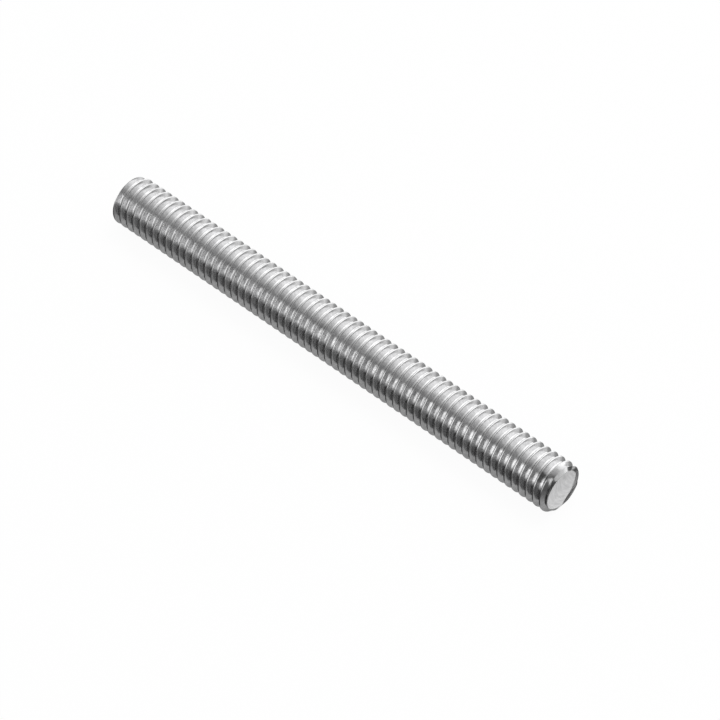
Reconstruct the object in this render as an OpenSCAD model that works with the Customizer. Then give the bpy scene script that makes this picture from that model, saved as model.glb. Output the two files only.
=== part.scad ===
// Threaded rod: one straight steel bar with a right-hand thread from end to end.
// Millimetres. The rod lies along X, with the origin on its axis, half-way between its end faces.

/* [Rod] */
// Length from end face to end face
rod_length = 101.6; // [40:0.1:122]
// Diameter over the thread's crests
major_diameter = 9.525; // [7.5:0.005:16]

/* [Thread] */
// Distance along the rod from one crest to the next
pitch = 1.5875; // [1.32:0.0005:3]
// Angle between the two flanks of a groove
flank_angle = 60; // [50:1:70]
// Where round the rod a crest meets the +X end face, from +Y towards +Z
start_angle = 58; // [0:1:359]
// Flat facets that make one turn of the thread
facets_per_turn = 20; // [12:4:20]

/* [Ends] */
// How far the bevel reaches inside the bottom of the grooves
bevel_below_root = 0.1; // [0:0.05:1]
// Slope of the bevel, measured from the end face
bevel_angle = 20; // [10:1:45]

/* [Hidden] */
$fn = 96;
steel = [0.78, 0.78, 0.79];

// Thread form: sharp triangles, with an eighth of their height cut from the crests
// and a quarter filled in at the roots.
crest_r = major_diameter / 2;
sharp_height = pitch / 2 / tan(flank_angle / 2);
thread_depth = sharp_height * (1 - 1 / 8 - 1 / 4);
root_r = crest_r - thread_depth;
crest_flat = pitch / 8;
root_flat = pitch / 4;

// One pitch of the profile, as [distance from the crest's middle, radius]
profile = [
    [(root_flat - pitch) / 2, root_r],
    [-crest_flat / 2, crest_r],
    [crest_flat / 2, crest_r],
    [(pitch - root_flat) / 2, root_r],
];

// The helix runs past both end faces, and the ends are then turned down
last_crest_x = rod_length / 2 + pitch * (1 - start_angle / 360);
crest_count = ceil(rod_length / pitch + 2.625 - start_angle / 360);
first_crest_x = last_crest_x - pitch * (crest_count - 1);
rows = len(profile) * crest_count + 1;

// The bevel starts at the end face, just inside the grooves
face_r = root_r - bevel_below_root;
overrun = 3 * pitch;
cutter_r = crest_r + 1;

// Point on the thread: row counts along the rod, column counts round it
function thread_point(row, column) =
    let (
        step = len(profile),
        place = profile[row % step],
        angle = 360 * column / facets_per_turn,
        turns = floor(row / step) + column / facets_per_turn,
        x = first_crest_x + place[0] + pitch * turns
    )
    [x, place[1] * cos(angle), place[1] * sin(angle)];

// Number of the point at a row and column. One column past the last is the first, a turn on.
function point_number(row, column) =
    column < facets_per_turn
        ? column * rows + row
        : point_number(row + len(profile), column - facets_per_turn);

// Bar with a helical thread, closed at each end by a fan of triangles round a point on the axis
module helical_bar() {
    step = len(profile);
    last = rows - 1;
    final = facets_per_turn - 1;
    side_points = [
        for (column = [0:final], row = [0:last]) thread_point(row, column)
    ];
    start_centre = len(side_points);
    end_centre = start_centre + 1;
    start_x = thread_point(0, 0)[0] + pitch / 2;
    end_x = thread_point(last, final)[0] - pitch / 2;

    side_faces = [
        for (column = [0:final])
            for (row = [0:last - 1 - (column == final ? step : 0)])
                let (
                    a = point_number(row, column),
                    b = point_number(row + 1, column),
                    c = point_number(row + 1, column + 1),
                    d = point_number(row, column + 1)
                )
                each [[a, b, c], [a, c, d]]
    ];

    // Each end's rim goes once round the helix and then one pitch along the rod
    start_rim = [
        for (column = [0:facets_per_turn]) point_number(0, column),
        for (row = [step - 1:-1:0]) point_number(row, 0),
    ];
    end_rim = [
        for (column = [0:final]) point_number(last, column),
        for (row = [last - 1:-1:last - step]) point_number(row, final),
        point_number(last, 0),
    ];
    start_faces = [
        for (i = [0:len(start_rim) - 2]) [start_rim[i], start_rim[i + 1], start_centre]
    ];
    end_faces = [
        for (i = [0:len(end_rim) - 2]) [end_rim[i + 1], end_rim[i], end_centre]
    ];

    polyhedron(
        points = concat(side_points, [[start_x, 0, 0], [end_x, 0, 0]]),
        faces = concat(side_faces, start_faces, end_faces),
        convexity = 10
    );
}

// Everything that facing and bevelling take off the +X end
module end_waste() {
    rotate([0, 90, 0])
        rotate_extrude()
            polygon([
                [0, rod_length / 2],
                [face_r, rod_length / 2],
                [cutter_r, rod_length / 2 - (cutter_r - face_r) * tan(bevel_angle)],
                [cutter_r, rod_length / 2 + overrun],
                [0, rod_length / 2 + overrun],
            ]);
}

module threaded_rod() {
    color(steel)
        difference() {
            helical_bar();
            end_waste();
            mirror([1, 0, 0]) end_waste();
        }
}

threaded_rod();
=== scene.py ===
import math

import bmesh
import bpy
import numpy as np
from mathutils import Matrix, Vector


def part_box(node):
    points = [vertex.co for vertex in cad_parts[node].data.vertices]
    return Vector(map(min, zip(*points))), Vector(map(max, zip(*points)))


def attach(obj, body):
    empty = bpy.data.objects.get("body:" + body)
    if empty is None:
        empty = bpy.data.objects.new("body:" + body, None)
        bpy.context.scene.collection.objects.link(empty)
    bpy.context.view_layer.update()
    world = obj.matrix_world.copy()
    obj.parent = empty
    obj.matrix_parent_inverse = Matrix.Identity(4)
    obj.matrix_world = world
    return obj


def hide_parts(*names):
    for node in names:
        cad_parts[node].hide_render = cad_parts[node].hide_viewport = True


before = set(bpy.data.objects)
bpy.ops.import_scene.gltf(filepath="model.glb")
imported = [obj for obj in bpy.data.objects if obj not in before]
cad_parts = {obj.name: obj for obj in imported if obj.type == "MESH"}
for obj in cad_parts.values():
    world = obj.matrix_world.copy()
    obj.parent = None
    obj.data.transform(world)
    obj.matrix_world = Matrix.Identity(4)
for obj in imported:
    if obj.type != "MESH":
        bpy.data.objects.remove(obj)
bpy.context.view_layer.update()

# Metres. The rod lies along X, its axis through the origin. Places round it are in turns from +Y
# towards +Z. Only the +X end is worn.
rod_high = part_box("threaded_rod")[1]
HALF_LENGTH = rod_high.x
CREST_R = rod_high.y
MM = 0.001
TURN = 2 * math.pi

# Thread: sharp triangles with an eighth of their height cut from the crests and a quarter filled in
# at the roots, and both corners then rounded a little.
PITCH = 1.5875 * MM
FLANK = math.radians(30)              # either flank's angle from the radius
START_TURN = 58 / 360                 # where a crest meets the +X end face
THREAD_DEPTH = (1 - 1 / 8 - 1 / 4) * PITCH / 2 / math.tan(FLANK)
ROOT_R = CREST_R - THREAD_DEPTH
CREST_FLAT = PITCH / 8
ROOT_FLAT = PITCH / 4
CREST_ROUNDING = 0.08 * MM
ROOT_ROUNDING = 0.12 * MM

# Ends
FACE_R = ROOT_R - 0.1 * MM            # where the plain bevel starts
BEVEL = math.radians(20)
RIM_ROUNDING = 0.05 * MM

# Mesh
COLUMNS = 60                          # points round the rod
HALVINGS = 48                         # steps in the search for where the thread meets an end
BEVEL_RINGS = 8
FACE_RINGS = (0.8, 0.55, 0.3, 0.1)    # across the end face, as shares of its radius
MERGE_DISTANCE = 0.001 * MM
SHARP_ANGLE = math.radians(28)

# Wear at the +X end, darker patches there, and painted shade on its bevel and at the last groove's mouth
DARKER_THREAD_SIDE = 123 / 360             # where the last thread is darkest
# One small darker patch behind the last thread
DARKER_PATCH_TURN = DARKER_THREAD_SIDE + 0.012
WORN_SIDE = 20 / 360                  # where the last crest's outer edge is worn away
WORN_R = 4.45 * MM
WORN_SLOPE = 1.7
PAINTED_BEVEL_SHADE_SIDE = 358 / 360                 # where the bevel is darkened with painted shade
WIDE_SIDE = 325 / 360                 # where the bevel reaches furthest in
# The last groove's mouth, where a spot of painted shade is drawn
MOUTH_SHADE_TURN = START_TURN + 0.012
MOUTH_SHADE_R = 4.4 * MM
MOUTH_SHADE_DEPTH = 0.1 * MM                  # from the end

# Steel
CLOUDS, SPECKS = 600.0, 2600.0        # how many to a metre
LIT_SIDE = 256 / 360                  # where the end face is a little paler


# ---------------------------------------------------------------- shape of the rod

def soft_max(a, b, reach):
    """The greater of two lines, with a parabola between them where they are closer than reach."""
    near = np.maximum(reach - np.abs(a - b), 0.0)
    return np.maximum(a, b) + near * near / (4 * reach)


def soft_min(a, b, reach):
    """The lesser of two lines, rounded in the same way."""
    return -soft_max(-a, -b, reach)


def smooth_step(value, low, high):
    """Nought below low and one above high, with a smooth cubic between."""
    share = np.clip((value - low) / (high - low), 0.0, 1.0)
    return share * share * (3 - 2 * share)


def thread_radius(turn):
    """Radius of the thread a number of pitches from a crest's middle. Straight flanks, 30 degrees
    either side of the radius, fall from the crest; a parabola rounds them into the crest and the root."""
    away = np.abs((turn + 0.5) % 1.0 - 0.5) * PITCH
    flank = CREST_R + (CREST_FLAT / 2 - away) / math.tan(FLANK)
    return soft_max(soft_min(flank, CREST_R, CREST_ROUNDING), ROOT_R, ROOT_ROUNDING)


def profile_stations():
    """Places over one pitch, in pitches from a crest's middle: six at each of the profile's four
    corners, across its rounding and just outside it, so that flats and flanks stay straight."""
    across = math.tan(FLANK) * np.array([CREST_ROUNDING, ROOT_ROUNDING])[:, None]
    corner = np.array([CREST_FLAT, PITCH - ROOT_FLAT])[:, None] / 2
    inside = corner + across * np.array([-1.0, -0.4, 0.4, 1.0])
    just_outside = corner + (across + 0.012 * MM) * np.array([-1, 1])
    half = np.sort(np.concatenate([inside, just_outside], axis=1).ravel()) / PITCH
    return np.concatenate([half, 1 - half[::-1]])


def turns_back(column_turn):
    """Turns back round the rod from where the last crest meets the +X end. The last groove's mouth
    is there too, a whole turn back."""
    return (START_TURN - column_turn) % 1.0


def lip(column_turn):
    """How far the cut at the +X end pressed the last groove shut, from nothing to one: fully for the
    first part of its turn, and fully again a little before its mouth."""
    back = turns_back(column_turn)
    first_part = 1 - smooth_step(back, 0.40, 0.56)
    before_mouth = smooth_step(back, 0.73, 0.86) * (1 - smooth_step(back, 0.95, 1.0))
    return first_part + before_mouth


def worn_side(column_turn):
    """One where the last crest's outer edge is worn away at the +X end, and nothing elsewhere: a
    smooth step of the cosine of the angle from that side."""
    return smooth_step(np.cos(TURN * (column_turn - WORN_SIDE)), 0.67, 0.87)


def bevel_shape(column_turn, side):
    """The radius where an end's bevel starts, and its slope. At the +X end the bevel is slighter
    along part of the lip, and reaches further in on the wide side."""
    back = turns_back(column_turn)
    slight = smooth_step(back, 0.0, 0.06) * (1 - smooth_step(back, 0.34, 0.42)) * (side > 0)
    wide = smooth_step(np.cos(TURN * (column_turn - WIDE_SIDE)), 0.5, 1.0) * (side > 0)
    start_r = FACE_R - (0.15 * slight + 0.75 * wide) * MM
    return start_r, math.tan(BEVEL) * (1 - 0.6 * slight - 0.15 * wide)


def end_distance(radius, column_turn, side, rim=1e-9):
    """How far the end surface lies from the rod's middle: flat inside and bevelled outside, with a
    small rounding between, and on the +X end's worn side steeper again over the last crest's edge."""
    start_r, slope = bevel_shape(column_turn, side)
    past = radius - start_r
    near = np.maximum(rim - np.abs(past), 0.0)
    drop = (np.maximum(past, 0.0) + near * near / (4 * rim)) * slope
    if side > 0:
        drop = drop + soft_max(radius - WORN_R, 0.0, 0.1 * MM) * WORN_SLOPE * worn_side(column_turn)
    return HALF_LENGTH - drop


def full_radius(turn, column_turn):
    """Radius of the thread, with the last groove of the +X end filled as far as the lip goes."""
    last_crest = np.where(column_turn < START_TURN, 0.0, -1.0)
    radius = thread_radius(turn)
    return radius + (CREST_R - radius) * np.where(turn > last_crest, lip(column_turn), 0.0)


def helix_x(turn, column_turn):
    """Distance along the rod: from the +X end, a pitch on for each pitch along the profile and for
    each turn round the rod past where a crest meets that end."""
    return HALF_LENGTH + PITCH * (turn + column_turn - START_TURN)


def turn_at_end(column_turn, side):
    """Where each column of the thread meets the end surface on one side, found by halving."""
    middle = (side - 1) * HALF_LENGTH / PITCH - column_turn + START_TURN
    low, high = middle - 1.0, middle + 1.0
    for _ in range(HALVINGS):
        turn = (low + high) / 2
        end = side * end_distance(full_radius(turn, column_turn), column_turn, side)
        beyond = helix_x(turn, column_turn) > end
        low, high = np.where(beyond, low, turn), np.where(beyond, turn, high)
    return (low + high) / 2


def round_axis(x, radius, column_turn):
    """Points at distances along the rod, radii and turns round it."""
    angle = TURN * column_turn
    return np.stack([x, radius * np.cos(angle), radius * np.sin(angle)], axis=-1)


def thread_side(column_turn, low, high):
    """Points and quads of the thread between its two ends. Rows follow the helix and columns go
    round; a column's turn past the last is the first column one pitch on. Rows beyond an end lie on
    it, and are merged later."""
    stations = profile_stations()
    step = len(stations)
    first = math.floor(-2 * HALF_LENGTH / PITCH - 2)
    count = (2 - first) * step
    rows = np.arange(count)
    turn = first + rows // step + stations[rows % step]
    held = np.clip(turn[:, None], low, high)
    points = round_axis(helix_x(held, column_turn), full_radius(held, column_turn), column_turn)
    index = np.arange(count * COLUMNS).reshape(count, COLUMNS)
    wrapped = np.concatenate([index[:-step], index[step:, :1]], axis=1)
    quads = np.stack([wrapped[:-1, :-1], wrapped[:-1, 1:], wrapped[1:, 1:], wrapped[1:, :-1]], axis=-1)
    return points.reshape(-1, 3), quads.reshape(-1, 4)


def end_cap(column_turn, edge, side, start):
    """Points and quads of one end, numbered from start: rings from the thread's edge down the bevel,
    over its small rounded rim and across the face, then a fan to the axis, whose point counts twice."""
    edge_r = full_radius(edge, column_turn)
    start_r, _ = bevel_shape(column_turn, side)
    share = np.linspace(0.0, 1.0, BEVEL_RINGS)[:, None]
    ring_r = np.concatenate([edge_r * (1 - share) + (start_r + 2 * RIM_ROUNDING) * share,
                             start_r + RIM_ROUNDING * np.array([1, 0, -1, -2])[:, None],
                             start_r * np.array(FACE_RINGS)[:, None]])
    ring_x = side * end_distance(ring_r, column_turn, side, RIM_ROUNDING)
    rings = round_axis(ring_x, ring_r, column_turn).reshape(-1, 3)
    grid = start + np.arange(ring_r.size).reshape(ring_r.shape)
    grid = np.concatenate([grid, grid[:, :1]], axis=1)
    quads = np.stack([grid[:-1, :-1], grid[:-1, 1:], grid[1:, 1:], grid[1:, :-1]], axis=-1).reshape(-1, 4)
    centre = np.full(COLUMNS, start + ring_r.size)
    fan = np.stack([grid[-1, :-1], grid[-1, 1:], centre, centre], axis=-1)
    if side < 0:
        quads, fan = quads[:, ::-1], fan[:, [1, 0, 2, 3]]
    return np.concatenate([rings, [[side * HALF_LENGTH, 0.0, 0.0]]]), np.concatenate([quads, fan])


def make_rod():
    """The rod's mesh: thread and two ends, doubled points merged, flanks smooth and corners sharp."""
    column_turn = np.arange(COLUMNS) / COLUMNS
    low, high = turn_at_end(column_turn, -1), turn_at_end(column_turn, 1)
    points, faces = thread_side(column_turn, low, high)
    for side, edge in ((1, high), (-1, low)):
        more_points, more_faces = end_cap(column_turn, edge, side, len(points))
        points, faces = np.concatenate([points, more_points]), np.concatenate([faces, more_faces])
    triangle = faces[:, 2] == faces[:, 3]
    mesh = bpy.data.meshes.new("steel_rod")
    mesh.from_pydata(points.tolist(), [], faces[~triangle].tolist() + faces[triangle, :3].tolist())
    work = bmesh.new()
    work.from_mesh(mesh)
    bmesh.ops.remove_doubles(work, verts=work.verts, dist=MERGE_DISTANCE)
    bmesh.ops.recalc_face_normals(work, faces=work.faces)
    work.to_mesh(mesh)
    work.free()
    mesh.shade_smooth()
    mesh.set_sharp_from_angle(angle=SHARP_ANGLE)
    rod = bpy.data.objects.new("steel_rod", mesh)
    bpy.context.scene.collection.objects.link(rod)
    return rod


# ---------------------------------------------------------------- materials

class Wire:
    """A value on its way through a material. Plus, minus, times, divide and power add Math nodes."""

    def __init__(self, tree, socket=None):
        self.tree, self.socket = tree, socket

    def node(self, kind, settings=None, values=None, out=0):
        """Any node: its settings first, then the numbers or wires of its sockets."""
        made = self.tree.nodes.new(kind)
        for name, setting in (settings or {}).items():
            setattr(made, name, setting)
        for name, value in (values or {}).items():
            if isinstance(value, Wire):
                self.tree.links.new(value.socket, made.inputs[name])
            else:
                made.inputs[name].default_value = value
        return Wire(self.tree, made.outputs[out] if len(made.outputs) else None)

    def math(self, operation, *terms):
        return self.node("ShaderNodeMath", {"operation": operation}, dict(enumerate(terms)))

    def vector(self, x, y, z):
        return self.node("ShaderNodeCombineXYZ", values={0: x, 1: y, 2: z})

    def split(self):
        return [self.node("ShaderNodeSeparateXYZ", values={0: self}, out=n) for n in range(3)]

    def noise(self, scale, detail, roughness=0.5):
        """Smooth noise at this place, about a half on average."""
        return self.node("ShaderNodeTexNoise", values={"Vector": self, "Scale": scale, "Detail": detail,
                                                       "Roughness": roughness})

    def between(self, low, high, start=0.0, end=1.0):
        """A smooth step of this value, from start at low to end at high."""
        return self.node("ShaderNodeMapRange", {"interpolation_type": "SMOOTHSTEP"},
                         {0: self, 1: low, 2: high, 3: start, 4: end})

    def __add__(self, other): return self.math("ADD", self, other)
    def __radd__(self, other): return self.math("ADD", other, self)
    def __sub__(self, other): return self.math("SUBTRACT", self, other)
    def __rsub__(self, other): return self.math("SUBTRACT", other, self)
    def __mul__(self, other): return self.math("MULTIPLY", self, other)
    def __rmul__(self, other): return self.math("MULTIPLY", other, self)
    def __truediv__(self, other): return self.math("DIVIDE", self, other)
    def __rtruediv__(self, other): return self.math("DIVIDE", other, self)
    def __pow__(self, other): return self.math("POWER", self, other)
    def __rpow__(self, other): return self.math("POWER", other, self)


def new_material(name):
    """A material with an empty tree, and the start of its wires."""
    material = bpy.data.materials.new(name)
    material.use_nodes = True
    material.node_tree.nodes.clear()
    return material, Wire(material.node_tree)


def blend(level, other, share):
    """One level turned into another by a share."""
    return level + (other - level) * share


def end_darkening_and_painted_shade(start, place, round_turn, face):
    """Factors that darken the steel's shade at the +X end: a darker last thread on one side, one
    darker patch behind it, painted shade on the bevel, and a spot of painted shade at the last
    groove's mouth. The spot fades with the distance from its middle, and the others with the cosine
    of the angle from their sides and the distance from the end."""
    from_near_end = HALF_LENGTH - place.split()[0]

    def facing(side):
        """The cosine of the angle round the rod from one of its sides."""
        return start.math("COSINE", (round_turn - side) * TURN)

    # Darker over the last thread on one side, fading round the rod and away from the end.
    darker_thread = facing(DARKER_THREAD_SIDE).between(0.55, 0.95) * from_near_end.between(1.9 * MM, 1.3 * MM)
    # One small patch behind the last thread, darker.
    darker_patch = (facing(DARKER_PATCH_TURN).between(0.965, 0.99) * from_near_end.between(2.95 * MM, 2.75 * MM)
               * from_near_end.between(2.1 * MM, 2.3 * MM))
    # Painted shade darkens the bevel on one side.
    painted_bevel_shade = facing(PAINTED_BEVEL_SHADE_SIDE).between(0.25, 0.5) * from_near_end.between(0.5 * MM, 0.3 * MM) * (1 - face)
    # Painted shade: a dark spot at the last groove's mouth.
    mouth_shade_middle = (HALF_LENGTH - MOUTH_SHADE_DEPTH, MOUTH_SHADE_R * math.cos(TURN * MOUTH_SHADE_TURN), MOUTH_SHADE_R * math.sin(TURN * MOUTH_SHADE_TURN))
    from_mouth_shade = start.node("ShaderNodeVectorMath", {"operation": "DISTANCE"}, {0: place, 1: mouth_shade_middle}, out=1)
    painted_mouth_shade = from_mouth_shade.between(1.0 * MM, 0.5 * MM)
    return (1 - darker_thread * 0.5) * (1 - darker_patch * 0.6) * (1 - painted_bevel_shade * 0.55) * (1 - painted_mouth_shade * 0.85)


def saw_marks(start, y, z):
    """Faint curved marks across the end faces: noise drawn out along shallow parabolas."""
    side_y, side_z = math.cos(TURN * DARKER_THREAD_SIDE), math.sin(TURN * DARKER_THREAD_SIDE)
    along = (y * side_y + z * side_z) / MM
    across = (z * side_y - y * side_z) / MM
    return start.vector(across * 1.2 + along * along * 0.12, along * 0.22, 0.0).noise(1.5, 4.0)


def bright_steel():
    """Plated steel with a rolled thread. Soft clouds and specks vary its shade and its surface, fine
    marks follow the helix, and faint curved saw marks cross the end faces."""
    material, start = new_material("bright_steel")
    place = start.node("ShaderNodeTexCoord", out="Object")
    x, y, z = place.split()
    radius = (y * y + z * z) ** 0.5
    round_turn = start.math("ARCTAN2", z, y) / TURN
    from_end = HALF_LENGTH - start.math("ABSOLUTE", x)
    face = from_end.between(0.02 * MM, 0.005 * MM)
    thread_zone = from_end.between(0.45 * MM, 0.55 * MM)
    flank = (radius.between(ROOT_R + 0.05 * MM, ROOT_R + 0.25 * MM)
             * radius.between(CREST_R, CREST_R - 0.2 * MM))

    cloud = place.noise(CLOUDS, 3.0, 0.55) - 0.5
    speck = place.noise(SPECKS, 3.0, 0.6) - 0.5
    along_helix = start.vector((x / PITCH - round_turn) * 9.0, radius / MM * 14.0, x / PITCH * 0.9)
    drawn = along_helix.noise(2.0, 3.0) - 0.5
    sawn = saw_marks(start, y, z) - 0.5

    # Near the +X end the shade is darker over the last thread and one patch, and painted shade darkens
    # the bevel and the last groove's mouth
    shade = (0.70 + cloud * 0.34 + speck * 0.40) * end_darkening_and_painted_shade(start, place, round_turn, face)
    toward_lit = (y * math.cos(TURN * LIT_SIDE) + z * math.sin(TURN * LIT_SIDE)) / MM
    face_shade = 0.57 + sawn * 0.7 + cloud * 0.16 + toward_lit * 0.02
    shade = blend(shade, face_shade, face)
    colour = start.node("ShaderNodeCombineColor", values={0: shade, 1: shade, 2: shade * 1.005})

    rough = 0.11 + flank * thread_zone * 0.09 + cloud * 0.06 + drawn * 0.04
    rough = blend(rough, 0.34 + sawn * 0.2, face)
    height = blend(cloud * 7.0 + speck * 0.8 + drawn * 0.05, sawn, face)
    bump = start.node("ShaderNodeBump", values={"Strength": 0.5, "Distance": 0.01 * MM, "Height": height})
    shader = start.node("ShaderNodeBsdfPrincipled",
                        values={"Base Color": colour, "Metallic": 1.0, "Roughness": rough,
                                "Specular Tint": (0.7, 0.7, 0.7, 1), "Normal": bump})
    start.node("ShaderNodeOutputMaterial", values={"Surface": shader})
    return material


rod = make_rod()
rod.data.materials.append(bright_steel())
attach(rod, "root")
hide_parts("threaded_rod")


# ---------------------------------------------------------------- studio

FLOOR_REACH = 3.0
OWN_WHITE = 0.95                      # how much of the floor's white is its own
SOFT_LIGHT = 0.7                      # the even light from all round
LAMP_PLACE = Vector((0.05, 0.35, 0.85))
LAMP_WIDTH = 0.5
LAMP_POWER = 3.0


def shown_or_reflected(start):
    """One for the rays that see the surroundings: from the camera, in gloss or through glass."""
    rays = start.node("ShaderNodeLightPath", out="Is Camera Ray")
    rays = rays + start.node("ShaderNodeLightPath", out="Is Glossy Ray")
    return start.math("MINIMUM", rays + start.node("ShaderNodeLightPath", out="Is Transmission Ray"), 1.0)


def pale_floor():
    """White paper: mostly its own even white, and partly what light and shadow make of it."""
    material, start = new_material("pale_floor")
    paper = start.node("ShaderNodeBsdfDiffuse", values={"Color": (0.93, 0.93, 0.93, 1)})
    glow = start.node("ShaderNodeEmission", values={"Color": (1, 1, 1, 1), "Strength": 1.0})
    share = shown_or_reflected(start) * OWN_WHITE
    mix = start.node("ShaderNodeMixShader", values={0: share, 1: paper, 2: glow})
    start.node("ShaderNodeOutputMaterial", values={"Surface": mix})
    return material


def make_floor():
    """A square of floor that the rod lies on. Reflections show the studio's table in its place."""
    signs = (-1, -1), (1, -1), (1, 1), (-1, 1)
    corners = [(x * FLOOR_REACH, y * FLOOR_REACH, -CREST_R) for x, y in signs]
    mesh = bpy.data.meshes.new("floor")
    mesh.from_pydata(corners, [], [(0, 1, 2, 3)])
    mesh.materials.append(pale_floor())
    floor = bpy.data.objects.new("floor", mesh)
    floor.visible_glossy = False
    bpy.context.scene.collection.objects.link(floor)


def studio_light(start):
    """How bright the studio is in each direction, by rise and lean in degrees, where 1 is white paper.
    Rise goes round the rod's axis: -90 straight down, 0 level in front, 90 straight up, 180 level
    behind. Lean is towards +X."""
    way = start.node("ShaderNodeTexCoord", out="Generated")
    x, y, z = way.split()
    rise = start.math("WRAP", start.math("ARCTAN2", z, -1 * y) * (360 / TURN), 270.0, -90.0)
    lean = start.math("ARCSINE", x) * (360 / TURN)

    def window(low, high, left, right):
        """One inside the given ranges of rise and lean, fading to nothing over a few degrees."""
        return (rise.between(low[0], low[1]) * rise.between(high[1], high[0])
                * lean.between(left[0], left[1]) * lean.between(right[1], right[0]))

    # Walls: grey in front, white overhead and behind, dimmer to the right and low behind
    walls = rise.between(53, 152, 0.25, 1.70)
    walls = walls * (1 - 0.85 * lean.between(-3, 55) * rise.between(64, 100))
    left_behind = window((135, 160), (182, 200), (-70, -60), (-28, -12))
    walls = blend(walls, 1.30, left_behind)
    walls = blend(walls, 0.38, rise.between(199, 214))
    strip_light = window((-5, 20), (42, 64), (-29, -22), (0, 48))
    walls = blend(walls, 1.80, strip_light)

    # Table: dark, with one thin pale line, and grey far to the right, far to the left and straight
    # below
    from_line = start.math("ABSOLUTE", x - y * 0.419 + z * 0.30)
    table = from_line.between(0.028, 0.112, 0.31, 0.035)
    table = blend(table, 0.23, lean.between(34, 44))
    table = blend(table, 0.40, lean.between(-36, -46))
    table = blend(table, 0.40, rise.between(-68, -76))
    level = blend(walls, table, rise.between(-2, -13))

    # Below and behind, what the flat face and the bevel of the +X end show, and little else does
    around_end = window((222, 226), (240, 244), (-8, -2), (95, 99))
    end_face = window((228, 234), (246, 252), (12, 18), (38, 44))
    bevel_below = window((224, 232), (255, 262), (-60, -50), (-9, -3))
    bevel_left = window((224, 232), (250, 257), (50, 58), (95, 99))
    bevel_above = window((203, 208), (225, 229), (26, 32), (95, 99))
    level = blend(level, 0.20, around_end)
    level = blend(level, 1.50, end_face)
    level = blend(level, 1.00, bevel_below)
    level = blend(level, 0.12, bevel_left)
    return blend(level, 1.30, bevel_above)


def light_studio():
    """Plain white to the camera, the studio in reflections, an even soft light from all round, and
    one large lamp overhead for the shadow."""
    world = bpy.data.worlds.new("studio")
    bpy.context.scene.world = world
    world.use_nodes = True
    world.node_tree.nodes.clear()
    start = Wire(world.node_tree)
    plain = start.node("ShaderNodeLightPath", out="Is Camera Ray")
    shown = shown_or_reflected(start)
    level = plain + (shown - plain) * studio_light(start) + (1 - shown) * SOFT_LIGHT
    air = start.node("ShaderNodeBackground", values={"Color": (1, 1, 1, 1), "Strength": level})
    start.node("ShaderNodeOutputWorld", values={"Surface": air})

    lamp_data = bpy.data.lights.new("overhead_lamp", "AREA")
    lamp_data.shape = "DISK"
    lamp_data.size = LAMP_WIDTH
    lamp_data.energy = LAMP_POWER
    lamp = bpy.data.objects.new("overhead_lamp", lamp_data)
    lamp.location = LAMP_PLACE
    lamp.rotation_euler = (-LAMP_PLACE).to_track_quat("-Z", "Y").to_euler()
    lamp.visible_glossy = False
    bpy.context.scene.collection.objects.link(lamp)


make_floor()
light_studio()


# ---------------------------------------------------------------- camera

AZIMUTH, ELEVATION = math.radians(42.29), math.radians(47.88)
DISTANCE = 0.8827
AIM = Vector((0.0046, 0.0, -0.00168))
LENS, SENSOR = 254.7, 36              # both in millimetres

toward_camera = Vector((math.sin(AZIMUTH) * math.cos(ELEVATION), -math.cos(AZIMUTH) * math.cos(ELEVATION),
                        math.sin(ELEVATION)))
camera_data = bpy.data.cameras.new("camera")
camera_data.lens = LENS
camera_data.sensor_width = SENSOR
camera_data.clip_end = 20
camera = bpy.data.objects.new("camera", camera_data)
camera.location = AIM + DISTANCE * toward_camera
camera.rotation_euler = (-toward_camera).to_track_quat("-Z", "Y").to_euler()
bpy.context.scene.collection.objects.link(camera)
bpy.context.scene.camera = camera
bpy.context.scene.view_settings.view_transform = "Standard"

bpy.context.view_layer.update()
